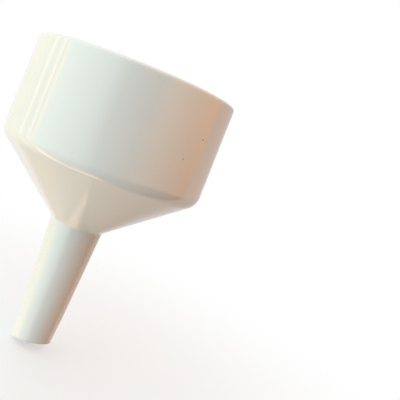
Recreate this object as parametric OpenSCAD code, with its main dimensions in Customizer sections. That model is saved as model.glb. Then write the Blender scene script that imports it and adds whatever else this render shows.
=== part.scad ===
// Buchner funnel in glazed porcelain, with a fixed perforated plate.
// Four formed pieces (bowl wall, filter plate, collecting cone and outlet stem) are luted together
// with slip, the liquid clay that potters use as glue, before they are fired.
// Millimetres. +Z points up to the rim. The origin is on the axis, level with the lowest point of the stem.

/* [Bowl] */
// Outside diameter of the bowl
bowl_d = 121; // [100:1:150]
// Depth of the bowl's outside, from the rim down to the sharp shoulder corner
bowl_h = 58.6; // [45:0.1:80]
// Thickness of the bowl wall
wall = 3.8; // [3:0.1:5]
// Radius on the outer edge of the rim
rim_outer_r = 2; // [0.5:0.1:2.2]
// Radius on the inner edge of the rim
rim_inner_r = 0.6; // [0.2:0.1:0.7]
// Radius that softens the shoulder between the bowl and the cone
shoulder_r = 9.4; // [6:0.1:11]

/* [Filter plate] */
// Thickness of the plate
plate_t = 4.5; // [3.5:0.1:5]
// Height of the plate's top face above the sharp shoulder corner
plate_rise = 4.8; // [4.4:0.1:18]
// Number of rings of holes around the centre hole
hole_rings = 6; // [2:1:6]
// Distance between neighbouring rings of holes
ring_pitch = 7.65; // [6.5:0.05:7.7]
// Turn of each ring of holes from +X, the first ring first
ring_turn = [31, 3, -8, 2, -4, 2]; // [-30:1:31]
// Mean diameter of a hole
hole_d = 2.3; // [1.5:0.1:2.6]
// Most that a hand-pierced hole is larger or smaller than the mean
hole_d_wander = 0.45; // [0:0.05:0.5]
// Most that a hand-pierced hole sits off its ring, in or out
radial_wander = 0.6; // [0:0.05:0.7]
// Most that a hand-pierced hole sits off its place along its ring
along_wander = 1.1; // [0:0.05:1.2]
// Radius of the slip fillet between the plate and the bowl wall
fillet_r = 4; // [2:0.1:5]
// Drop of the bevel on the plate's upper edge, which gives the fillet's slip a hold
plate_bevel_h = 1; // [0.5:0.1:1.5]

/* [Cone and stem] */
// Width of the ledge that the plate sits on
ledge_w = 6.5; // [5:0.1:7.5]
// Height of the cone, from the sharp shoulder corner down to the sharp neck corner
cone_h = 36.9; // [30:0.1:50]
// Thickness of the cone, measured square to its surface
cone_t = 4.2; // [3.5:0.1:4.5]
// Outside diameter at the neck, where the stem meets the cone
neck_d = 32; // [31:0.5:36]
// Radius of the slip fillet around the neck
neck_r = 4; // [2:0.1:6]
// Outside diameter of the stem's tip
tip_d = 23; // [21:0.5:24]
// Bore of the stem at the neck
neck_bore_d = 22; // [20:0.5:22]
// Bore of the stem at the tip
tip_bore_d = 16.4; // [14:0.2:17]
// Length of the stem, from the sharp neck corner to its lowest point
stem_h = 76.2; // [50:0.1:110]
// Angle of the bevel that lets the last drops run off the tip
tip_bevel = 15; // [0:1:25]
// Direction of the long side of the tip, anticlockwise from +X
tip_turn = 122; // [0:1:359]

/* [Luting] */
// Thickness of the slip between two pieces
lute_t = 0.5; // [0.4:0.05:0.6]
// Width of the tongue on the bowl's foot
tongue_w = 1.3; // [1:0.1:1.4]
// Height of the tongue on the bowl's foot
tongue_h = 1.2; // [0.8:0.1:1.4]
// Radius of the slip fillet under the plate, at the ledge's inner edge
bead_r = 1.4; // [0.8:0.1:2]

/* [Hidden] */
$fn = 96;

// Levels on the axis, counted up from the stem's lowest point
neck_z = stem_h;
shoulder_z = neck_z + cone_h;
rim_z = shoulder_z + bowl_h;
plate_top_z = shoulder_z + plate_rise;
plate_bottom_z = plate_top_z - plate_t;

// Radii
bowl_r = bowl_d / 2;
bowl_inner_r = bowl_r - wall;
neck_outer_r = neck_d / 2;
tip_outer_r = tip_d / 2;
neck_bore_r = neck_bore_d / 2;
tip_bore_r = tip_bore_d / 2;

// The cone's outer line runs from the neck corner to the shoulder corner
cone_slope = atan2(cone_h, bowl_r - neck_outer_r);
// The stem's outer line leans in from the neck to the tip
stem_lean = atan2(neck_outer_r - tip_outer_r, stem_h);
// The shoulder's rounding begins this far up the bowl wall and this far down the cone
shoulder_tangent = shoulder_r * tan((90 - cone_slope) / 2);
// The neck's rounding begins this far up the cone and this far down the stem
neck_tangent = neck_r * tan((90 - cone_slope - stem_lean) / 2);

// The bowl wall stands on the cone's collar at this level, just above the shoulder's rounding
collar_clearance = 0.2;
collar_z = shoulder_z + shoulder_tangent + collar_clearance;
foot_z = collar_z + lute_t;

// The plate lies in a rebate inside the cone's collar
ledge_z = plate_bottom_z - lute_t;
plate_r = bowl_inner_r - lute_t;
seat_r = bowl_inner_r - fillet_r;
plate_edge_z = plate_top_z - plate_bevel_h;
ledge_inner_r = bowl_inner_r - ledge_w;

// The spigot on the stem and the socket in the cone
spigot_r = (neck_bore_r + neck_outer_r) / 2;
socket_r = spigot_r + lute_t;
stem_shoulder_z = neck_z - lute_t;

// The tongue on the bowl's foot and the groove in the collar share the middle of the wall
middle_r = bowl_r - wall / 2;
groove_half_w = (tongue_w + lute_t) / 2;
groove_z = collar_z - tongue_h;

// Arcs are drawn with one step for about this many degrees
arc_step = 5;
// Room for cutting tools that must run past a face
past = 1;
// Sides of a hole, and the starting number for the holes' chance sizes and places
hole_sides = 32;
hole_seed = 11;

// Points along an arc about a centre (radius and level), between two angles
function arc(centre, r, from, to) =
    let (steps = max(2, ceil(abs(to - from) / arc_step)))
    [for (i = [0:steps])
        let (a = from + (to - from) * i / steps)
        [centre[0] + r * cos(a), centre[1] + r * sin(a)]];

// Level of the cone's inner face at a radius
function cone_inner_z(r) =
    neck_z + (r - neck_outer_r + cone_t / sin(cone_slope)) * tan(cone_slope);

// Radius of the stem's outer face at a level
function stem_outer_r(z) = neck_outer_r - (neck_z - z) * tan(stem_lean);

// Rounding of the shoulder, from the bowl wall down to the cone
shoulder_centre = [bowl_r - shoulder_r, shoulder_z + shoulder_tangent];
shoulder_arc = arc(shoulder_centre, shoulder_r, 0, cone_slope - 90);

// Hollow of the neck's fillet, from the cone down to the stem
neck_fillet_centre = [neck_outer_r + neck_tangent * cos(cone_slope) + neck_r * sin(cone_slope),
                      neck_z + neck_tangent * sin(cone_slope) - neck_r * cos(cone_slope)];
neck_arc = arc(neck_fillet_centre, neck_r, 90 + cone_slope, 180 - stem_lean);

// A ring turned from an outline of [radius, level] points
module turned(outline) {
    rotate_extrude() polygon(outline);
}

// The straight wall: rounded rim at the top, tongue under the foot
module bowl_wall() {
    outer_edge = arc([bowl_r - rim_outer_r, rim_z - rim_outer_r], rim_outer_r, 0, 90);
    inner_edge = arc([bowl_inner_r + rim_inner_r, rim_z - rim_inner_r], rim_inner_r, 90, 180);
    color([0.87, 0.88, 0.84])
        turned(concat(
            outer_edge,
            inner_edge,
            [[bowl_inner_r, foot_z],
             [middle_r - tongue_w / 2, foot_z],
             [middle_r - tongue_w / 2, foot_z - tongue_h],
             [middle_r + tongue_w / 2, foot_z - tongue_h],
             [middle_r + tongue_w / 2, foot_z],
             [bowl_r, foot_z]]));
}

// One hole straight through the plate, at a radius and an angle
module plate_hole(r, angle, d) {
    rotate([0, 0, angle])
        translate([r, 0, plate_bottom_z - past])
            cylinder(d = d, h = plate_t + 2 * past, $fn = hole_sides);
}

// Hand-pierced holes: one in the centre, then rings of six, twelve, eighteen and so on
module plate_holes() {
    count = 3 * hole_rings * (hole_rings + 1);
    size = rands(-1, 1, count, hole_seed);
    shift_out = rands(-1, 1, count, hole_seed + 1);
    shift_along = rands(-1, 1, count, hole_seed + 2);
    plate_hole(0, 0, hole_d);
    for (ring = [1:hole_rings]) {
        holes = 6 * ring;
        ring_r = ring_pitch * ring;
        for (i = [0:holes - 1]) {
            n = 3 * ring * (ring - 1) + i;
            along_angle = along_wander * shift_along[n] / ring_r * 180 / PI;
            plate_hole(ring_r + radial_wander * shift_out[n],
                       360 / holes * i + ring_turn[ring - 1] + along_angle,
                       hole_d + hole_d_wander * size[n]);
        }
    }
}

// The pierced disc that carries the filter paper, with a bevelled upper edge
module filter_plate() {
    color([0.88, 0.85, 0.79])
        difference() {
            turned([
                [0, plate_bottom_z],
                [plate_r, plate_bottom_z],
                [plate_r, plate_edge_z],
                [seat_r, plate_top_z],
                [0, plate_top_z]]);
            plate_holes();
        }
}

// The cone, with the rounded shoulder outside, a collar around the plate and a ledge under it
module collecting_cone() {
    color([0.86, 0.80, 0.73])
        turned(concat(
            [[bowl_r, collar_z]],
            shoulder_arc,
            [[neck_outer_r, neck_z],
             [socket_r, neck_z],
             [socket_r, cone_inner_z(socket_r)],
             [ledge_inner_r, cone_inner_z(ledge_inner_r)],
             [ledge_inner_r, ledge_z],
             [bowl_inner_r, ledge_z],
             [bowl_inner_r, collar_z],
             [middle_r - groove_half_w, collar_z],
             [middle_r - groove_half_w, groove_z],
             [middle_r + groove_half_w, groove_z],
             [middle_r + groove_half_w, collar_z]]));
}

// The tapered tube: spigot at the top, bevelled drip tip at the bottom
module outlet_stem() {
    color([0.85, 0.85, 0.81])
        difference() {
            turned([
                [tip_bore_r, 0],
                [tip_outer_r, 0],
                [stem_outer_r(stem_shoulder_z), stem_shoulder_z],
                [spigot_r, stem_shoulder_z],
                [spigot_r, cone_inner_z(spigot_r)],
                [neck_bore_r, cone_inner_z(neck_bore_r)]]);
            // Everything below a slanted plane through the lowest point of the tip
            rotate([0, 0, tip_turn])
                translate([tip_outer_r, 0, 0])
                    rotate([0, tip_bevel, 0])
                        translate([-3 * tip_d, -tip_d, -2 * tip_d])
                            cube([4 * tip_d, 2 * tip_d, 2 * tip_d]);
        }
}

// Slip between the bowl's foot and the cone's collar, wrapped around the tongue
module shoulder_lute() {
    color([0.92, 0.90, 0.84])
        turned([
            [bowl_inner_r, collar_z],
            [middle_r - groove_half_w, collar_z],
            [middle_r - groove_half_w, groove_z],
            [middle_r + groove_half_w, groove_z],
            [middle_r + groove_half_w, collar_z],
            [bowl_r, collar_z],
            [bowl_r, foot_z],
            [middle_r + tongue_w / 2, foot_z],
            [middle_r + tongue_w / 2, foot_z - tongue_h],
            [middle_r - tongue_w / 2, foot_z - tongue_h],
            [middle_r - tongue_w / 2, foot_z],
            [bowl_inner_r, foot_z]]);
}

// Slip under and around the plate, with a small fillet on the underside
module plate_bed_lute() {
    color([0.83, 0.76, 0.68])
        turned(concat(
            [[bowl_inner_r, plate_edge_z],
             [plate_r, plate_edge_z],
             [plate_r, plate_bottom_z]],
            arc([ledge_inner_r - bead_r, plate_bottom_z - bead_r], bead_r, 90, 0),
            [[ledge_inner_r, ledge_z],
             [bowl_inner_r, ledge_z]]));
}

// Rounded slip fillet in the corner between the plate and the bowl wall
module plate_upper_fillet() {
    color([0.90, 0.87, 0.80])
        turned(concat(
            [[plate_r, plate_edge_z],
             [bowl_inner_r, plate_edge_z]],
            arc([seat_r, plate_top_z + fillet_r], fillet_r, 0, -90)));
}

// Slip around the stem's spigot and shoulder, ending in the fillet that rounds the neck
module neck_lute() {
    color([0.84, 0.78, 0.71])
        turned(concat(
            [[neck_outer_r, neck_z]],
            neck_arc,
            [[stem_outer_r(stem_shoulder_z), stem_shoulder_z],
             [spigot_r, stem_shoulder_z],
             [spigot_r, cone_inner_z(spigot_r)],
             [socket_r, cone_inner_z(socket_r)],
             [socket_r, neck_z]]));
}

bowl_wall();
filter_plate();
collecting_cone();
outlet_stem();
shoulder_lute();
plate_bed_lute();
plate_upper_fillet();
neck_lute();
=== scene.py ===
"""Looks for a glazed porcelain Buchner funnel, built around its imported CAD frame.

Each CAD piece is replaced by a finer turned piece of the same size. Every surface then gets the same gentle
wander, as a hand-finished pot has, so touching pieces still meet and reflections run in soft waves.
Everything is in metres in the frame's own axes: +Z up the funnel's axis, -Y towards the camera.
"""
import math
import random
from collections import namedtuple

import bpy
from mathutils import Matrix, Vector, geometry, kdtree, noise


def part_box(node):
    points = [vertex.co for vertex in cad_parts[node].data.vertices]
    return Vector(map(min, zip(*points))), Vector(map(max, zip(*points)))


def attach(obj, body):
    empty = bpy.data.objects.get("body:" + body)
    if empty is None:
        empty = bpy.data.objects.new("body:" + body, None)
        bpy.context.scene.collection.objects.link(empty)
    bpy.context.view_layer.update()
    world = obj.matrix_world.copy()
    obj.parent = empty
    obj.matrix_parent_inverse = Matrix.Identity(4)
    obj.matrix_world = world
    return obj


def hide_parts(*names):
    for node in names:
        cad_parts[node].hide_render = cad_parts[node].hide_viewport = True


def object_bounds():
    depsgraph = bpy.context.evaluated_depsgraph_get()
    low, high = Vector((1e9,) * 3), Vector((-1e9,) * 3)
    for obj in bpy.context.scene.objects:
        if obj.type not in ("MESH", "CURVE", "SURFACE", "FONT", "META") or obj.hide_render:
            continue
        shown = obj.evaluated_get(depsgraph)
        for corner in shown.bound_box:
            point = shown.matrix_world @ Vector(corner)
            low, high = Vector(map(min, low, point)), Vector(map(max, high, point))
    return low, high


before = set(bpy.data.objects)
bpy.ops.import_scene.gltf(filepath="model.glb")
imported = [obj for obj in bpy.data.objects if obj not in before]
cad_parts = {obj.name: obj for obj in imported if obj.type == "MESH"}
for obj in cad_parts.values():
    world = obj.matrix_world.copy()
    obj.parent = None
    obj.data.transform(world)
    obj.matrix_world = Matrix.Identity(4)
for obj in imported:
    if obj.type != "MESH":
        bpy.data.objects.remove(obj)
cad_low, cad_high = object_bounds()

MM = 0.001
TAU = 2 * math.pi

# ---------------------------------------------------------------- sizes, read from the frame


def level_range(node):
    """Lowest and highest level of a CAD node."""
    low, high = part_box(node)
    return low.z, high.z


def radius_range(node):
    """Smallest and largest distance of a CAD node's surface points from the axis."""
    radii = [math.hypot(v.co.x, v.co.y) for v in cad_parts[node].data.vertices]
    return min(radii), max(radii)


TONGUE_Z, RIM_Z = level_range("bowl_wall")
INNER_R, BOWL_R = radius_range("bowl_wall")
GROOVE_Z, FOOT_Z = level_range("shoulder_lute")
NECK_Z, COLLAR_Z = level_range("collecting_cone")
SOCKET_R = radius_range("collecting_cone")[0]
PLATE_BOTTOM_Z, PLATE_TOP_Z = level_range("filter_plate")
PLATE_R = radius_range("filter_plate")[1]
BEAD_Z, PLATE_EDGE_Z = level_range("plate_bed_lute")
BEAD_R = radius_range("plate_bed_lute")[0]
FILLET_TOP_Z = level_range("plate_upper_fillet")[1]
SEAT_R = radius_range("plate_upper_fillet")[0]
SPIGOT_R = radius_range("neck_lute")[0]
SOCKET_TOP_Z = level_range("neck_lute")[1]
TIP_BORE_R = radius_range("outlet_stem")[0]

LUTE_T = FOOT_Z - COLLAR_Z
BEAD_SIZE = PLATE_BOTTOM_Z - BEAD_Z
LEDGE_Z = PLATE_BOTTOM_Z - LUTE_T
LEDGE_R = BEAD_R + BEAD_SIZE
FILLET_SIZE = FILLET_TOP_Z - PLATE_TOP_Z
WALL_MIDDLE_R = (INNER_R + BOWL_R) / 2

# Sizes that a CAD box doesn't hold
TONGUE_HALF_W = 0.65 * MM
GROOVE_HALF_W = 0.9 * MM
RIM_OUTER_SIZE = 2.0 * MM
RIM_INNER_SIZE = 0.6 * MM
SHOULDER_SIZE = 9.4 * MM
NECK_SIZE = 4.0 * MM
CONE_H = 36.9 * MM
NECK_R = 16.0 * MM
TIP_R = 11.5 * MM
NECK_BORE_R = 11.0 * MM
TIP_BEVEL = math.radians(15)
TIP_TURN = math.radians(122)
TIP_BEND_H = 26 * MM
TIP_EDGE = 0.5 * MM
RIDGE_H = 0.22 * MM
RIDGE_HALF_W = 0.5 * MM

SHOULDER_Z = NECK_Z + CONE_H
CONE_SLOPE = math.atan2(CONE_H, BOWL_R - NECK_R)
STEM_LEAN = math.atan2(NECK_R - TIP_R, NECK_Z)
STEM_SHOULDER_Z = NECK_Z - LUTE_T

# ---------------------------------------------------------------- outlines


def arc(centre, size, start, end, step=4.0):
    """Points of [radius, level] along an arc, with angles in degrees."""
    count = max(2, math.ceil(abs(end - start) / step))
    angles = [math.radians(start + (end - start) * i / count) for i in range(count + 1)]
    return [(centre[0] + size * math.cos(a), centre[1] + size * math.sin(a)) for a in angles]


def stepped(points, longest=1.5 * MM):
    """A closed outline with its long straight stretches split, so that they can follow the wander."""
    result = []
    for here, there in zip(points, points[1:] + points[:1]):
        length = math.dist(here, there)
        count = max(1, math.ceil(length / longest))
        for i in range(count):
            share = i / count
            result.append((here[0] + (there[0] - here[0]) * share,
                           here[1] + (there[1] - here[1]) * share))
    return result


def near(value, target, reach):
    """One at the target, falling smoothly to nothing at the reach."""
    share = max(0.0, 1 - abs(value - target) / reach)
    return share * share * (3 - 2 * share)


def cone_inner_z(radius):
    """Level of the cone's inner face at a radius."""
    run = radius - SOCKET_R
    return SOCKET_TOP_Z + run * math.tan(CONE_SLOPE)


def stem_outer_r(level):
    """Radius of the stem's outer face at a level."""
    return NECK_R - (NECK_Z - level) * math.tan(STEM_LEAN)


def shoulder_outline():
    """The soft shoulder, from the bowl wall down to the cone."""
    tangent = SHOULDER_SIZE * math.tan((math.pi / 2 - CONE_SLOPE) / 2)
    centre = (BOWL_R - SHOULDER_SIZE, SHOULDER_Z + tangent)
    return arc(centre, SHOULDER_SIZE, 0, math.degrees(CONE_SLOPE) - 90, step=1.5)


def neck_outline():
    """The hollow fillet under the cone, from the cone down to the stem."""
    tangent = NECK_SIZE * math.tan((math.pi / 2 - CONE_SLOPE - STEM_LEAN) / 2)
    centre = (NECK_R + tangent * math.cos(CONE_SLOPE) + NECK_SIZE * math.sin(CONE_SLOPE),
              NECK_Z + tangent * math.sin(CONE_SLOPE) - NECK_SIZE * math.cos(CONE_SLOPE))
    slope, lean = math.degrees(CONE_SLOPE), math.degrees(STEM_LEAN)
    return arc(centre, NECK_SIZE, 90 + slope, 180 - lean, step=3)


def bowl_wall_outline():
    rim_out = (BOWL_R - RIM_OUTER_SIZE, RIM_Z - RIM_OUTER_SIZE)
    rim_in = (INNER_R + RIM_INNER_SIZE, RIM_Z - RIM_INNER_SIZE)
    return [*arc(rim_out, RIM_OUTER_SIZE, 0, 90),
            *arc(rim_in, RIM_INNER_SIZE, 90, 180, step=10),
            (INNER_R, FOOT_Z),
            (WALL_MIDDLE_R - TONGUE_HALF_W, FOOT_Z),
            (WALL_MIDDLE_R - TONGUE_HALF_W, TONGUE_Z),
            (WALL_MIDDLE_R + TONGUE_HALF_W, TONGUE_Z),
            (WALL_MIDDLE_R + TONGUE_HALF_W, FOOT_Z),
            (BOWL_R, FOOT_Z)]


def collecting_cone_outline():
    return [(BOWL_R, COLLAR_Z),
            *shoulder_outline(),
            (NECK_R, NECK_Z),
            (SOCKET_R, NECK_Z),
            (SOCKET_R, SOCKET_TOP_Z),
            (LEDGE_R, cone_inner_z(LEDGE_R)),
            (LEDGE_R, LEDGE_Z),
            (INNER_R, LEDGE_Z),
            (INNER_R, COLLAR_Z),
            (WALL_MIDDLE_R - GROOVE_HALF_W, COLLAR_Z),
            (WALL_MIDDLE_R - GROOVE_HALF_W, GROOVE_Z),
            (WALL_MIDDLE_R + GROOVE_HALF_W, GROOVE_Z),
            (WALL_MIDDLE_R + GROOVE_HALF_W, COLLAR_Z)]


def outlet_stem_outline():
    lean = math.degrees(STEM_LEAN)
    bore_lean = math.degrees(math.atan2(NECK_BORE_R - TIP_BORE_R, NECK_Z))
    return [*arc((TIP_BORE_R + TIP_EDGE, TIP_EDGE), TIP_EDGE, 180 - bore_lean, 270, step=9),
            *arc((TIP_R - TIP_EDGE, TIP_EDGE), TIP_EDGE, 270, 360 - lean, step=9),
            (stem_outer_r(STEM_SHOULDER_Z), STEM_SHOULDER_Z),
            (SPIGOT_R, STEM_SHOULDER_Z),
            (SPIGOT_R, cone_inner_z(SPIGOT_R)),
            (NECK_BORE_R, cone_inner_z(NECK_BORE_R))]


def shoulder_lute_outline():
    return [(INNER_R, COLLAR_Z),
            (WALL_MIDDLE_R - GROOVE_HALF_W, COLLAR_Z),
            (WALL_MIDDLE_R - GROOVE_HALF_W, GROOVE_Z),
            (WALL_MIDDLE_R + GROOVE_HALF_W, GROOVE_Z),
            (WALL_MIDDLE_R + GROOVE_HALF_W, COLLAR_Z),
            (BOWL_R, COLLAR_Z),
            (BOWL_R, FOOT_Z),
            (WALL_MIDDLE_R + TONGUE_HALF_W, FOOT_Z),
            (WALL_MIDDLE_R + TONGUE_HALF_W, TONGUE_Z),
            (WALL_MIDDLE_R - TONGUE_HALF_W, TONGUE_Z),
            (WALL_MIDDLE_R - TONGUE_HALF_W, FOOT_Z),
            (INNER_R, FOOT_Z)]


def plate_bed_lute_outline():
    return [(INNER_R, PLATE_EDGE_Z),
            (PLATE_R, PLATE_EDGE_Z),
            (PLATE_R, PLATE_BOTTOM_Z),
            *arc((BEAD_R, BEAD_Z), BEAD_SIZE, 90, 0, step=9),
            (LEDGE_R, LEDGE_Z),
            (INNER_R, LEDGE_Z)]


def ridged(points):
    """The fillet's outline with a fine raised line just outside the plate's seat."""
    crest = SEAT_R + RIDGE_HALF_W
    return [(radius, level + RIDGE_H * near(radius, crest, RIDGE_HALF_W)) for radius, level in points]


def plate_upper_fillet_outline():
    return [(PLATE_R, PLATE_EDGE_Z),
            (INNER_R, PLATE_EDGE_Z),
            *ridged(arc((SEAT_R, FILLET_TOP_Z), FILLET_SIZE, 0, -90, step=1.5))]


def neck_lute_outline():
    return [(NECK_R, NECK_Z),
            *neck_outline(),
            (stem_outer_r(STEM_SHOULDER_Z), STEM_SHOULDER_Z),
            (SPIGOT_R, STEM_SHOULDER_Z),
            (SPIGOT_R, cone_inner_z(SPIGOT_R)),
            (SOCKET_R, SOCKET_TOP_Z),
            (SOCKET_R, NECK_Z)]


# ---------------------------------------------------------------- hand-made surfaces

WANDER_SEED = 2
WANDER = ((0.14 * MM, 16.0), (0.06 * MM, 60.0))
THROWING_RING_SIZE = 0.018 * MM
THROWING_RING_PITCH = 4.5 * MM
# Without a seed, the noise vectors would start from the clock
noise.seed_set(WANDER_SEED)


def wander(point):
    """The point, moved as the potter's hand and the kiln moved it."""
    moved = point.copy()
    for size, frequency in WANDER:
        moved += noise.noise_vector(point * frequency) * size
    radius = math.hypot(point.x, point.y)
    if radius > 0:
        turn = noise.noise(Vector((point.x * 9, point.y * 9, point.z / THROWING_RING_PITCH)))
        swell = THROWING_RING_SIZE * turn / radius
        moved.x += point.x * swell
        moved.y += point.y * swell
    return moved


def bevelled(point):
    """The point, lifted where the tip of the stem is cut off at a slant."""
    share = max(0.0, 1 - point.z / TIP_BEND_H)
    toward_long_side = point.x * math.cos(TIP_TURN) + point.y * math.sin(TIP_TURN)
    lift = math.tan(TIP_BEVEL) * (TIP_R - toward_long_side) * share * share * (3 - 2 * share)
    return Vector((point.x, point.y, point.z + lift))


def unmoved(point):
    return point


# How far from a corner the glaze pools, thins out, or was ground off the rim
CORNER_POOL = 5.5 * MM
NECK_POOL = 5 * MM
SHOULDER_POOL = 6 * MM
SHOULDER_POOL_SHARE = 0.6
RIM_THIN = 2 * MM
RIM_INNER_THIN = 1.0 * MM
LAND_DEPTH = 0.5 * MM
LAND_FROM_INSIDE = 0.45 * MM
LAND_FROM_OUTSIDE = 1.1 * MM


def glaze_amounts(point):
    """How much the glaze pools, thins out or is missing at a point of the finished shape."""
    radius = math.hypot(point.x, point.y)
    pool = near(math.hypot(radius - INNER_R, point.z - PLATE_TOP_Z), 0, CORNER_POOL)
    pool = max(pool, near(math.hypot(radius - NECK_R, point.z - NECK_Z), 1 * MM, NECK_POOL))
    pool = max(pool, SHOULDER_POOL_SHARE * near(point.z, SHOULDER_Z, SHOULDER_POOL))
    thin = near(math.hypot(radius - BOWL_R, point.z - RIM_Z), 0.8 * MM, RIM_THIN)
    thin = max(thin, near(math.hypot(radius - INNER_R, point.z - RIM_Z), 0, RIM_INNER_THIN))
    across_land = INNER_R + LAND_FROM_INSIDE < radius < BOWL_R - LAND_FROM_OUTSIDE
    on_land = point.z > RIM_Z - LAND_DEPTH and across_land
    return pool, thin, 1.0 if on_land else 0.0


# Sides of every turned piece, and the turn between faces that counts as a crease
SEGMENTS = 288
CREASE = math.radians(32)


def closed_mesh(name, points, faces):
    """A mesh with smooth faces, sharp creases and its glaze amounts stored at each point."""
    mesh = bpy.data.meshes.new(name)
    mesh.from_pydata([wander(p) for p in points], [], faces)
    amounts = [glaze_amounts(p) for p in points]
    for i, kind in enumerate(("pool", "thin", "bare")):
        attribute = mesh.attributes.new(kind, "FLOAT", "POINT")
        attribute.data.foreach_set("value", [a[i] for a in amounts])
    mesh.shade_smooth()
    mesh.set_sharp_from_angle(angle=CREASE)
    return mesh


def add_piece(mesh, node, slot):
    """Puts a piece in the scene in place of its CAD node, with the look of its material slot."""
    piece = bpy.data.objects.new(mesh.name, mesh)
    bpy.context.scene.collection.objects.link(piece)
    mesh.materials.append(LOOKS[slot])
    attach(piece, "root")
    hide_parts(node)


def turned_mesh(name, outline, shape=unmoved):
    """An outline of [radius, level] turned about the axis into a closed ring."""
    outline = stepped(outline)
    points = []
    for radius, level in outline:
        for k in range(SEGMENTS):
            angle = TAU * k / SEGMENTS
            points.append(shape(Vector((radius * math.cos(angle), radius * math.sin(angle), level))))
    faces = []
    for i in range(len(outline)):
        here, there = i * SEGMENTS, (i + 1) % len(outline) * SEGMENTS
        for k in range(SEGMENTS):
            after = (k + 1) % SEGMENTS
            faces.append((here + k, here + after, there + after, there + k))
    area = sum(a[0] * b[1] - b[0] * a[1] for a, b in zip(outline, outline[1:] + outline[:1]))
    if area < 0:
        faces = [tuple(reversed(f)) for f in faces]
    return closed_mesh(name, points, faces)


# ---------------------------------------------------------------- the pierced plate

HOLE_SIDES = 24
HOLE_LIP = 0.32 * MM
HOLE_OUT_OF_ROUND = 0.09
HOLE_DRIFT = 0.25 * MM
HOLE_POINT_GAP = 1.0 * MM
FILL_PITCH = 1.9 * MM
PLATE_SEED = 7


def search_tree(places):
    """A tree that finds the nearest of some places."""
    tree = kdtree.KDTree(len(places))
    for i, place in enumerate(places):
        tree.insert(place, i)
    tree.balance()
    return tree


def rings_of(points):
    """The points in groups, each point of a group within HOLE_POINT_GAP of another."""
    tree = search_tree(points)
    seen = set()
    for start in range(len(points)):
        if start in seen:
            continue
        seen.add(start)
        ring, waiting = [], [start]
        while waiting:
            current = waiting.pop()
            ring.append(points[current])
            for _, other, _ in tree.find_range(points[current], HOLE_POINT_GAP):
                if other not in seen:
                    seen.add(other)
                    waiting.append(other)
        yield ring


def cad_holes():
    """Centre and radius of every hole in the CAD plate, found from the points round its top edge."""
    edge_points = [v.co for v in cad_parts["filter_plate"].data.vertices
                   if abs(v.co.z - PLATE_TOP_Z) < 0.01 * MM
                   and math.hypot(v.co.x, v.co.y) < SEAT_R - 1 * MM]
    holes = []
    for ring in rings_of(edge_points):
        low = Vector((min(p.x for p in ring), min(p.y for p in ring)))
        high = Vector((max(p.x for p in ring), max(p.y for p in ring)))
        holes.append(((low + high) / 2, (high - low).length / 2 / math.sqrt(2)))
    return sorted(holes, key=lambda hole: (round(hole[0].length, 5), math.atan2(hole[0].y, hole[0].x)))


class PiercedHole:
    """A hole pricked by hand: a little out of round, leaning, with rims softened by glaze."""

    def __init__(self, centre, radius, chance):
        self.centre = centre
        self.radius = radius
        self.waves = [(k, HOLE_OUT_OF_ROUND / k * chance.uniform(0.3, 1.6), chance.uniform(0, TAU))
                      for k in (2, 3, 5)]
        lean = chance.uniform(0, TAU)
        self.drift = Vector((math.cos(lean), math.sin(lean))) * HOLE_DRIFT * chance.uniform(0, 1.5)

    def ring(self, widen, depth_share):
        """Points round the hole, widened by a distance, at a share of the plate's thickness."""
        points = []
        for i in range(HOLE_SIDES):
            angle = TAU * i / HOLE_SIDES
            wave = sum(size * math.cos(k * angle + phase) for k, size, phase in self.waves)
            reach = self.radius * (1 + wave) + widen
            points.append(self.centre + self.drift * depth_share
                          + Vector((math.cos(angle), math.sin(angle))) * reach)
        return points


def hole_levels():
    """Stations down a hole: how far it is widened, how deep it is as a share, and its level."""
    thick = PLATE_TOP_Z - PLATE_BOTTOM_Z
    turns = [math.radians(a) for a in (0, 22, 45, 68, 90)]
    top = [(HOLE_LIP * (1 - math.sin(t)), PLATE_TOP_Z - HOLE_LIP * (1 - math.cos(t))) for t in turns]
    middle = [(0.0, PLATE_TOP_Z - thick * share) for share in (0.3, 0.5, 0.7)]
    bottom = [(widen, PLATE_TOP_Z + PLATE_BOTTOM_Z - level) for widen, level in reversed(top)]
    return [(widen, (PLATE_TOP_Z - level) / thick, level) for widen, level in top + middle + bottom]


def fill_points(reach, tree, reaches):
    """Evenly spaced points inside a circle that keep clear of its edge and of the holes."""
    rows = math.ceil(reach / FILL_PITCH)
    for row in range(-rows, rows + 1):
        for column in range(-rows, rows + 1):
            p = Vector(((column + 0.5 * (row % 2)) * FILL_PITCH, row * FILL_PITCH * math.sqrt(3) / 2))
            _, i, gap = tree.find((p.x, p.y, 0))
            if gap > reaches[i] + 0.45 * FILL_PITCH and p.length < reach - 0.7 * FILL_PITCH:
                yield p


def pierced_face(outer, rings):
    """Triangles that fill an outer ring, leaving the smaller rings open, with even points between."""
    points, edges = [], []
    for ring in [outer, *rings]:
        first = len(points)
        points += ring
        edges += [(first + i, first + (i + 1) % len(ring)) for i in range(len(ring))]
    given = len(points)
    centres = [sum(ring, Vector((0, 0))) / len(ring) for ring in rings]
    reaches = [max((p - c).length for p in ring) for ring, c in zip(rings, centres)]
    tree = search_tree([(c.x, c.y, 0) for c in centres])
    points += fill_points(outer[0].length, tree, reaches)
    places, _, found, origins, _, _ = geometry.delaunay_2d_cdt(points, edges, [], 0, 1e-9)
    if len(places) != len(points):
        raise ValueError("the plate's rings touch each other")
    triangles = []
    for face in found:
        middle = sum((places[i] for i in face), Vector((0, 0))) / len(face)
        _, i, gap = tree.find((middle.x, middle.y, 0))
        on_rings = all(len(outer) <= origins[v][0] < given for v in face)
        if not (on_rings and gap < reaches[i] * 0.98):
            triangles.append(tuple(origins[v][0] for v in face))
    return points, triangles


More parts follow.
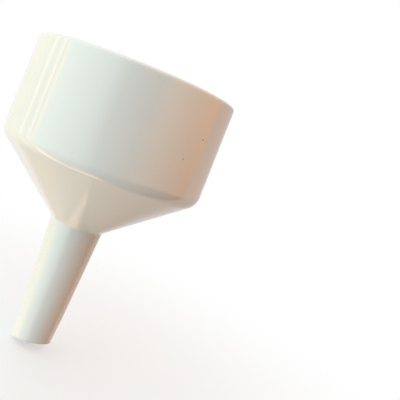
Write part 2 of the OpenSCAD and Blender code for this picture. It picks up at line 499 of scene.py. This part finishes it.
def filter_plate_mesh():
    """The pierced disc: two pierced faces, joined by the outer edge and by the wall of every hole."""
    chance = random.Random(PLATE_SEED)
    holes = [PiercedHole(centre, radius, chance) for centre, radius in cad_holes()]
    levels = hole_levels()
    points, faces = [], []

    def circle(radius):
        angles = [TAU * k / SEGMENTS for k in range(SEGMENTS)]
        return [Vector((radius * math.cos(a), radius * math.sin(a))) for a in angles]

    def add_face(station, reach, flip):
        widen, share, level = station
        flat, triangles = pierced_face(circle(reach), [h.ring(widen, share) for h in holes])
        first = len(points)
        points.extend(Vector((p.x, p.y, level)) for p in flat)
        for triangle in triangles:
            corner = tuple(first + i for i in triangle)
            faces.append(tuple(reversed(corner)) if flip else corner)
        return first

    def bridge(upper, lower, count):
        for i in range(count):
            j = (i + 1) % count
            faces.append((upper + i, lower + i, lower + j, upper + j))

    top = add_face(levels[0], SEAT_R, False)
    bottom = add_face(levels[-1], PLATE_R, True)
    for n, hole in enumerate(holes):
        offset = SEGMENTS + n * HOLE_SIDES
        above = top + offset
        for widen, share, level in levels[1:-1]:
            below = len(points)
            points.extend(Vector((p.x, p.y, level)) for p in hole.ring(widen, share))
            bridge(below, above, HOLE_SIDES)
            above = below
        bridge(bottom + offset, above, HOLE_SIDES)
    edge = len(points)
    points.extend(Vector((p.x, p.y, PLATE_EDGE_Z)) for p in circle(PLATE_R))
    bridge(top, edge, SEGMENTS)
    bridge(edge, bottom, SEGMENTS)
    return closed_mesh("filter_plate_turned", points, faces)


# ---------------------------------------------------------------- materials


class Nodes:
    """A short way to build a shader out of nodes."""

    def __init__(self, tree):
        self.tree = tree
        tree.nodes.clear()

    def add(self, kind, settings=None, **inputs):
        node = self.tree.nodes.new(kind)
        for key, value in (settings or {}).items():
            setattr(node, key, value)
        for key, value in inputs.items():
            self.set(node.inputs[key.replace("_", " ")], value)
        return node

    def set(self, socket, value):
        if isinstance(value, bpy.types.NodeSocket):
            self.tree.links.new(value, socket)
        elif hasattr(value, "__len__") and len(value) == 3 and socket.type == "RGBA":
            socket.default_value = (*value, 1)
        else:
            socket.default_value = value

    def math(self, operation, *values):
        node = self.add("ShaderNodeMath", {"operation": operation})
        for socket, value in zip(node.inputs, values):
            self.set(socket, value)
        return node.outputs[0]

    def mix(self, share, below, above):
        """Colour below where the share is 0 and above where it is 1."""
        node = self.add("ShaderNodeMix", {"data_type": "RGBA"})
        self.set(node.inputs["Factor"], share)
        self.set(node.inputs["A"], below)
        self.set(node.inputs["B"], above)
        return node.outputs["Result"]

    def add_colours(self, first, second):
        node = self.add("ShaderNodeMix", {"data_type": "RGBA", "blend_type": "ADD", "clamp_factor": True})
        self.set(node.inputs["Factor"], 1.0)
        self.set(node.inputs["A"], first)
        self.set(node.inputs["B"], second)
        return node.outputs["Result"]

    def distance(self, first, second):
        node = self.add("ShaderNodeVectorMath", {"operation": "DISTANCE"})
        self.set(node.inputs[0], first)
        self.set(node.inputs[1], second)
        return node.outputs["Value"]

    def ramp(self, value, low, high):
        """0 below low and 1 above high, with a smooth rise between."""
        node = self.add("ShaderNodeMapRange", {"interpolation_type": "SMOOTHSTEP"})
        for name, given in (("Value", value), ("From Min", low), ("From Max", high)):
            self.set(node.inputs[name], given)
        return node.outputs["Result"]

    def band(self, value, low, high, soft):
        """1 between low and high, with soft ends."""
        rise = self.ramp(value, low - soft, low + soft)
        fall = self.ramp(value, high - soft, high + soft)
        return self.math("SUBTRACT", rise, fall)

    def noise(self, position, scale, detail=2.0, roughness=0.5):
        node = self.add("ShaderNodeTexNoise", Vector=position, Scale=scale,
                        Detail=detail, Roughness=roughness)
        return node.outputs["Fac"]


# Colours of the glazed body, of the plate, and of glaze that pooled or ran thin
BODY = (0.87, 0.855, 0.822)
PLATE = (0.88, 0.85, 0.835)
POOLED = (0.84, 0.86, 0.85)
THIN = (0.90, 0.885, 0.865)
# Colours of the ground clay on the rim, of its grain, and of iron in the glaze
BARE = (0.91, 0.90, 0.885)
BARE_GRAIN = (0.89, 0.875, 0.86)
SPECK = (0.16, 0.11, 0.08)
IRON = (0.22, 0.15, 0.10)
# Specks of iron in the bowl's glaze: angle about the axis in degrees, level, and size
IRON_SPECKS = ((-43.3, 148.3 * MM, 0.85 * MM), (-51.7, 135.5 * MM, 0.6 * MM))


def scaled(colour, share):
    return [c * share for c in colour]


def mottled(n, place, grain, body):
    """The body's colour with soft clouds and a fine grain."""
    cloud = n.ramp(n.noise(place, 28.0, 3.0), 0.3, 0.7)
    colour = n.mix(n.math("MULTIPLY", cloud, 0.35), body, scaled(body, 0.955))
    return n.mix(n.math("MULTIPLY", grain, 0.10), colour, scaled(body, 0.90))


def specked(n, place, colour, share):
    """Faint dark specks of uneven size, scattered through the glaze."""
    cells = n.add("ShaderNodeTexVoronoi", Vector=place, Scale=62.0)
    chance = n.add("ShaderNodeSeparateColor", Color=cells.outputs["Color"]).outputs["Red"]
    edge = n.math("SUBTRACT", n.math("MULTIPLY", chance, 0.030), 0.022)
    far = n.math("SUBTRACT", cells.outputs["Distance"], edge)
    speck = n.math("SUBTRACT", 1.0, n.ramp(far, 0.0, 0.006))
    return n.mix(n.math("MULTIPLY", speck, share), colour, SPECK)


def iron_spotted(n, place, colour):
    """The few larger specks of iron on the bowl wall, with ragged edges."""
    for angle, level, size in IRON_SPECKS:
        turn = math.radians(angle)
        spot = (BOWL_R * math.cos(turn), BOWL_R * math.sin(turn), level)
        ragged = n.math("MULTIPLY", n.noise(place, 1500.0, 2.0), size)
        far = n.math("ADD", n.distance(place, spot), ragged)
        colour = n.mix(n.ramp(far, size * 0.75, size * 1.25), IRON, colour)
    return colour


def glaze_bump(n, place, bare_grain):
    """Slow swells and pinholes in the glaze, and the grain of the bare clay."""
    swell = n.noise(place, 150.0, 1.0)
    pits = n.ramp(n.add("ShaderNodeTexVoronoi", Vector=place, Scale=420.0).outputs["Distance"], 0.0, 0.12)
    height = n.math("ADD", n.math("MULTIPLY", swell, 0.35), n.math("MULTIPLY", pits, 0.03))
    height = n.math("ADD", height, n.math("MULTIPLY", bare_grain, 0.03))
    return n.add("ShaderNodeBump", Height=height, Strength=0.10, Distance=0.0004).outputs["Normal"]


def glaze_roughness(n, place, bare):
    """Gloss with faint smears, and none of it on bare clay."""
    smear = n.ramp(n.noise(place, 45.0, 4.0, 0.6), 0.35, 0.75)
    roughness = n.math("ADD", 0.09, n.math("MULTIPLY", smear, 0.07))
    return n.math("ADD", roughness, n.math("MULTIPLY", bare, 0.3))


def glaze_material(name, body, speck_share):
    """Clear glaze over porcelain: mottled body, pooled and thin glaze, specks, pinholes and bare clay."""
    material = bpy.data.materials.new(name)
    material.use_nodes = True
    n = Nodes(material.node_tree)
    place = n.add("ShaderNodeTexCoord").outputs["Object"]
    amount = {kind: n.add("ShaderNodeAttribute", {"attribute_name": kind}).outputs["Fac"]
              for kind in ("pool", "thin", "bare")}
    grain = n.ramp(n.noise(place, 900.0, 2.0), 0.35, 0.65)
    bare = n.math("MULTIPLY", amount["bare"], n.ramp(n.noise(place, 260.0, 2.0), 0.1, 0.4))

    colour = mottled(n, place, grain, body)
    colour = n.mix(n.math("MULTIPLY", amount["pool"], 0.55), colour, POOLED)
    colour = n.mix(n.math("MULTIPLY", amount["thin"], 0.6), colour, THIN)
    colour = specked(n, place, colour, speck_share)
    colour = iron_spotted(n, place, colour)
    colour = n.mix(bare, colour, n.mix(grain, BARE, BARE_GRAIN))

    bump = glaze_bump(n, place, n.math("MULTIPLY", grain, bare))
    coat = n.math("SUBTRACT", 0.6, n.math("MULTIPLY", bare, 0.6))
    shader = n.add("ShaderNodeBsdfPrincipled", Base_Color=colour, Normal=bump, IOR=1.5,
                   Roughness=glaze_roughness(n, place, bare),
                   Coat_Weight=coat, Coat_Roughness=0.04, Coat_Normal=bump)
    out = n.add("ShaderNodeOutputMaterial")
    n.set(out.inputs["Surface"], shader.outputs["BSDF"])
    return material


# The record's material slots, each with the look that its pieces get
LOOKS = {
    "body_glaze": glaze_material("glazed_body", BODY, 0.5),
    "plate_glaze": glaze_material("glazed_plate", PLATE, 0.3),
    "joint_slip": glaze_material("glazed_slip", BODY, 0.2),
}

# ---------------------------------------------------------------- the funnel

TURNED = (
    ("bowl_wall", bowl_wall_outline, "body_glaze", unmoved),
    ("collecting_cone", collecting_cone_outline, "body_glaze", unmoved),
    ("outlet_stem", outlet_stem_outline, "body_glaze", bevelled),
    ("shoulder_lute", shoulder_lute_outline, "joint_slip", unmoved),
    ("plate_bed_lute", plate_bed_lute_outline, "joint_slip", unmoved),
    ("plate_upper_fillet", plate_upper_fillet_outline, "joint_slip", unmoved),
    ("neck_lute", neck_lute_outline, "joint_slip", unmoved),
)
for node, outline, slot, shape in TURNED:
    add_piece(turned_mesh(node + "_turned", outline(), shape), node, slot)
add_piece(filter_plate_mesh(), "filter_plate", "plate_glaze")

# ---------------------------------------------------------------- light

# The room is given in degrees: turn to the right of the camera's side, and rise above the level.
# Its front is a rounded panel that the glaze mirrors with a crisp edge, and the rest is a backdrop around it.
PANEL_TURN = (-79, 109)
PANEL_RISE = (-70, 90)
PANEL_CORNER = 30
PANEL_EDGE = 1.2
# Bands that follow the panel's outline: how far out from it they begin and end
INSIDE = (-200, 0)
OUTSIDE = (0, 200)
RIM = (1, 4)
LIP = (1, 11)
NEAR_PANE = (9, 12)
FAR_PANE = (23, 26)

# Colours of what the glaze mirrors
DAYLIGHT = (0.8, 1.0, 1.0)
WINDOW = (1.0, 0.95, 0.75)
WALL = (1.0, 1.0, 1.0)
WOOD = (1.0, 0.5, 0.2)
TABLE = (1.0, 0.85, 0.7)
SHADE = (0.5, 0.75, 1.0)
FRAME = (1.0, 0.6, 0.25)

# Each patch shows one of those colours at a strength, both given here
LightPatch = namedtuple("LightPatch", "name band turns rises soft colour strength")
LIGHT_PATCHES = (
    LightPatch("daylight", INSIDE, (-200, -15), (-30, 200), 15, DAYLIGHT, 1.5),
    LightPatch("table_in_front", INSIDE, (-200, -15), (-200, -30), 15, TABLE, 1.2),
    LightPatch("shaded_front", INSIDE, (-15, 36), (-200, 25), 15, SHADE, 0.3),
    LightPatch("wooden_wall", INSIDE, (36, 200), (-5, 25), 12, WOOD, 1.4),
    LightPatch("wall_above", INSIDE, (-15, 40), (25, 200), 20, WALL, 0.9),
    LightPatch("wooden_wall_above", INSIDE, (40, 200), (25, 200), 20, WOOD, 1.1),
    LightPatch("window", OUTSIDE, (-145, 0), (-36, 60), 10, WINDOW, 1.0),
    LightPatch("back_left", OUTSIDE, (-200, -145), (-36, 60), 10, WALL, 1.0),
    LightPatch("back_right", OUTSIDE, (0, 158), (-36, 60), 12, WALL, 0.6),
    LightPatch("back_right_far", OUTSIDE, (158, 200), (-36, 60), 12, WALL, 0.9),
    LightPatch("table_left", OUTSIDE, (-200, 0), (-200, -36), 15, TABLE, 1.0),
    LightPatch("table_right", OUTSIDE, (0, 200), (-200, -36), 15, TABLE, 0.7),
    LightPatch("ceiling", OUTSIDE, (-200, 200), (60, 200), 10, WALL, 1.2),
    LightPatch("panel_frame", RIM, (-100, -60), (-60, 40), 6, FRAME, 2.0),
    LightPatch("panel_sill", LIP, (-95, 22), (-200, -38), 8, FRAME, 3.5),
    LightPatch("near_pane_frame", NEAR_PANE, (-110, -60), (-75, 40), 6, FRAME, 2.0),
    LightPatch("far_pane_frame", FAR_PANE, (-125, -60), (-75, 40), 6, FRAME, 1.5),
)


def panel_distance(n, turn, rise):
    """Degrees outside the panel's rounded outline, less than 0 inside it."""
    overhang = []
    for value, (low, high) in ((turn, PANEL_TURN), (rise, PANEL_RISE)):
        offset = n.math("ABSOLUTE", n.math("SUBTRACT", value, (low + high) / 2))
        overhang.append(n.math("MAXIMUM", n.math("SUBTRACT", offset, (high - low) / 2 - PANEL_CORNER), 0.0))
    across, up = overhang
    length = n.math("SQRT", n.math("ADD", n.math("POWER", across, 2.0), n.math("POWER", up, 2.0)))
    return n.math("SUBTRACT", length, PANEL_CORNER)


def studio_world():
    """Soft light all round, made of patches; the camera itself sees a plain white backdrop."""
    world = bpy.data.worlds.new("studio")
    bpy.context.scene.world = world
    world.use_nodes = True
    n = Nodes(world.node_tree)
    way = n.add("ShaderNodeSeparateXYZ", Vector=n.add("ShaderNodeTexCoord").outputs["Generated"])
    x, y, z = way.outputs
    turn = n.math("DEGREES", n.math("ARCTAN2", x, n.math("MULTIPLY", y, -1.0)))
    rise = n.math("DEGREES", n.math("ARCSINE", z))
    distance = panel_distance(n, turn, rise)
    total = None
    for patch in LIGHT_PATCHES:
        share = n.band(distance, *patch.band, PANEL_EDGE)
        share = n.math("MULTIPLY", share, n.band(turn, *patch.turns, patch.soft))
        share = n.math("MULTIPLY", share, n.band(rise, *patch.rises, patch.soft))
        colour = n.mix(share, (0, 0, 0), scaled(patch.colour, patch.strength))
        total = n.add_colours(total, colour) if total else colour

    light = n.add("ShaderNodeBackground", Color=total, Strength=1.0)
    backdrop = n.add("ShaderNodeBackground", Color=(1, 1, 1), Strength=1.0)
    seen = n.add("ShaderNodeLightPath").outputs["Is Camera Ray"]
    both = n.add("ShaderNodeMixShader", Fac=seen)
    n.set(both.inputs[1], light.outputs["Background"])
    n.set(both.inputs[2], backdrop.outputs["Background"])
    out = n.add("ShaderNodeOutputWorld")
    n.set(out.inputs["Surface"], both.outputs["Shader"])


studio_world()

# ---------------------------------------------------------------- floor and camera

FLOOR_R = 1.2
FLOOR_CORNERS = 64
FLOOR_FADE = (0.06, 0.35)
# Part of the floor's brightness is its own glow, so that the coloured light hardly tints it
FLOOR_GLOW = 0.55
FLOOR_COLOUR = (0.84, 0.88, 0.95)


def floor_material():
    """Pale and plain near the funnel, melting into the backdrop further out, and clear from below."""
    material = bpy.data.materials.new("pale_floor")
    material.use_nodes = True
    n = Nodes(material.node_tree)
    place = n.add("ShaderNodeTexCoord").outputs["Object"]
    distance = n.add("ShaderNodeVectorMath", {"operation": "LENGTH"}, Vector=place).outputs["Value"]
    diffuse = n.add("ShaderNodeBsdfDiffuse", Color=FLOOR_COLOUR)
    backdrop = n.add("ShaderNodeEmission", Color=(1, 1, 1), Strength=1.0)
    clear = n.add("ShaderNodeBsdfTransparent")
    glow = n.math("ADD", FLOOR_GLOW, n.math("MULTIPLY", n.ramp(distance, *FLOOR_FADE), 1 - FLOOR_GLOW))
    fade = n.add("ShaderNodeMixShader", Fac=glow)
    n.set(fade.inputs[1], diffuse.outputs["BSDF"])
    n.set(fade.inputs[2], backdrop.outputs["Emission"])
    below = n.add("ShaderNodeNewGeometry").outputs["Backfacing"]
    both = n.add("ShaderNodeMixShader", Fac=below)
    n.set(both.inputs[1], fade.outputs["Shader"])
    n.set(both.inputs[2], clear.outputs["BSDF"])
    out = n.add("ShaderNodeOutputMaterial")
    n.set(out.inputs["Surface"], both.outputs["Shader"])
    return material


def pale_floor():
    """A round floor under the funnel that only the camera sees."""
    mesh = bpy.data.meshes.new("floor")
    angles = [TAU * k / FLOOR_CORNERS for k in range(FLOOR_CORNERS)]
    corners = [(math.cos(a) * FLOOR_R, math.sin(a) * FLOOR_R, cad_low.z) for a in angles]
    mesh.from_pydata(corners, [], [tuple(range(FLOOR_CORNERS))])
    mesh.materials.append(floor_material())
    floor = bpy.data.objects.new("floor", mesh)
    bpy.context.scene.collection.objects.link(floor)
    floor.visible_diffuse = False
    floor.visible_glossy = False
    floor.visible_transmission = False


pale_floor()

CAMERA_DISTANCE = 312 * MM
CAMERA_Z = RIM_Z - 29.3 * MM
CAMERA_ROLL = math.radians(21.77)
CAMERA_LENS = 47.68
# The funnel stands up and to the left of the middle of the frame, by this share of the frame's width
FRAME_SHIFT = 0.2034


def photograph_camera():
    """A camera level with the middle of the bowl, rolled so that the funnel leans to the right.

    Its lens is shifted only while it stands at this station, so that from anywhere else it looks straight
    at the funnel.
    """
    camera = bpy.data.objects.new("camera", bpy.data.cameras.new("camera"))
    bpy.context.scene.collection.objects.link(camera)
    bpy.context.scene.camera = camera
    camera.data.lens = CAMERA_LENS
    camera.data.clip_start = 10 * MM
    camera.location = (0, -CAMERA_DISTANCE, CAMERA_Z)
    looking_level = Matrix.Rotation(math.radians(90), 4, "X")
    camera.rotation_euler = (looking_level @ Matrix.Rotation(CAMERA_ROLL, 4, "Z")).to_euler()
    station = bpy.data.objects.new("camera_station", None)
    station.location = camera.location
    bpy.context.scene.collection.objects.link(station)
    for axis, shift in (("shift_x", FRAME_SHIFT), ("shift_y", -FRAME_SHIFT)):
        driver = camera.data.driver_add(axis).driver
        gap = driver.variables.new()
        gap.name = "gap"
        gap.type = "LOC_DIFF"
        gap.targets[0].id = camera
        gap.targets[1].id = station
        driver.expression = f"{shift} if gap < 0.001 else 0.0"


photograph_camera()
bpy.context.scene.view_settings.view_transform = "Standard"
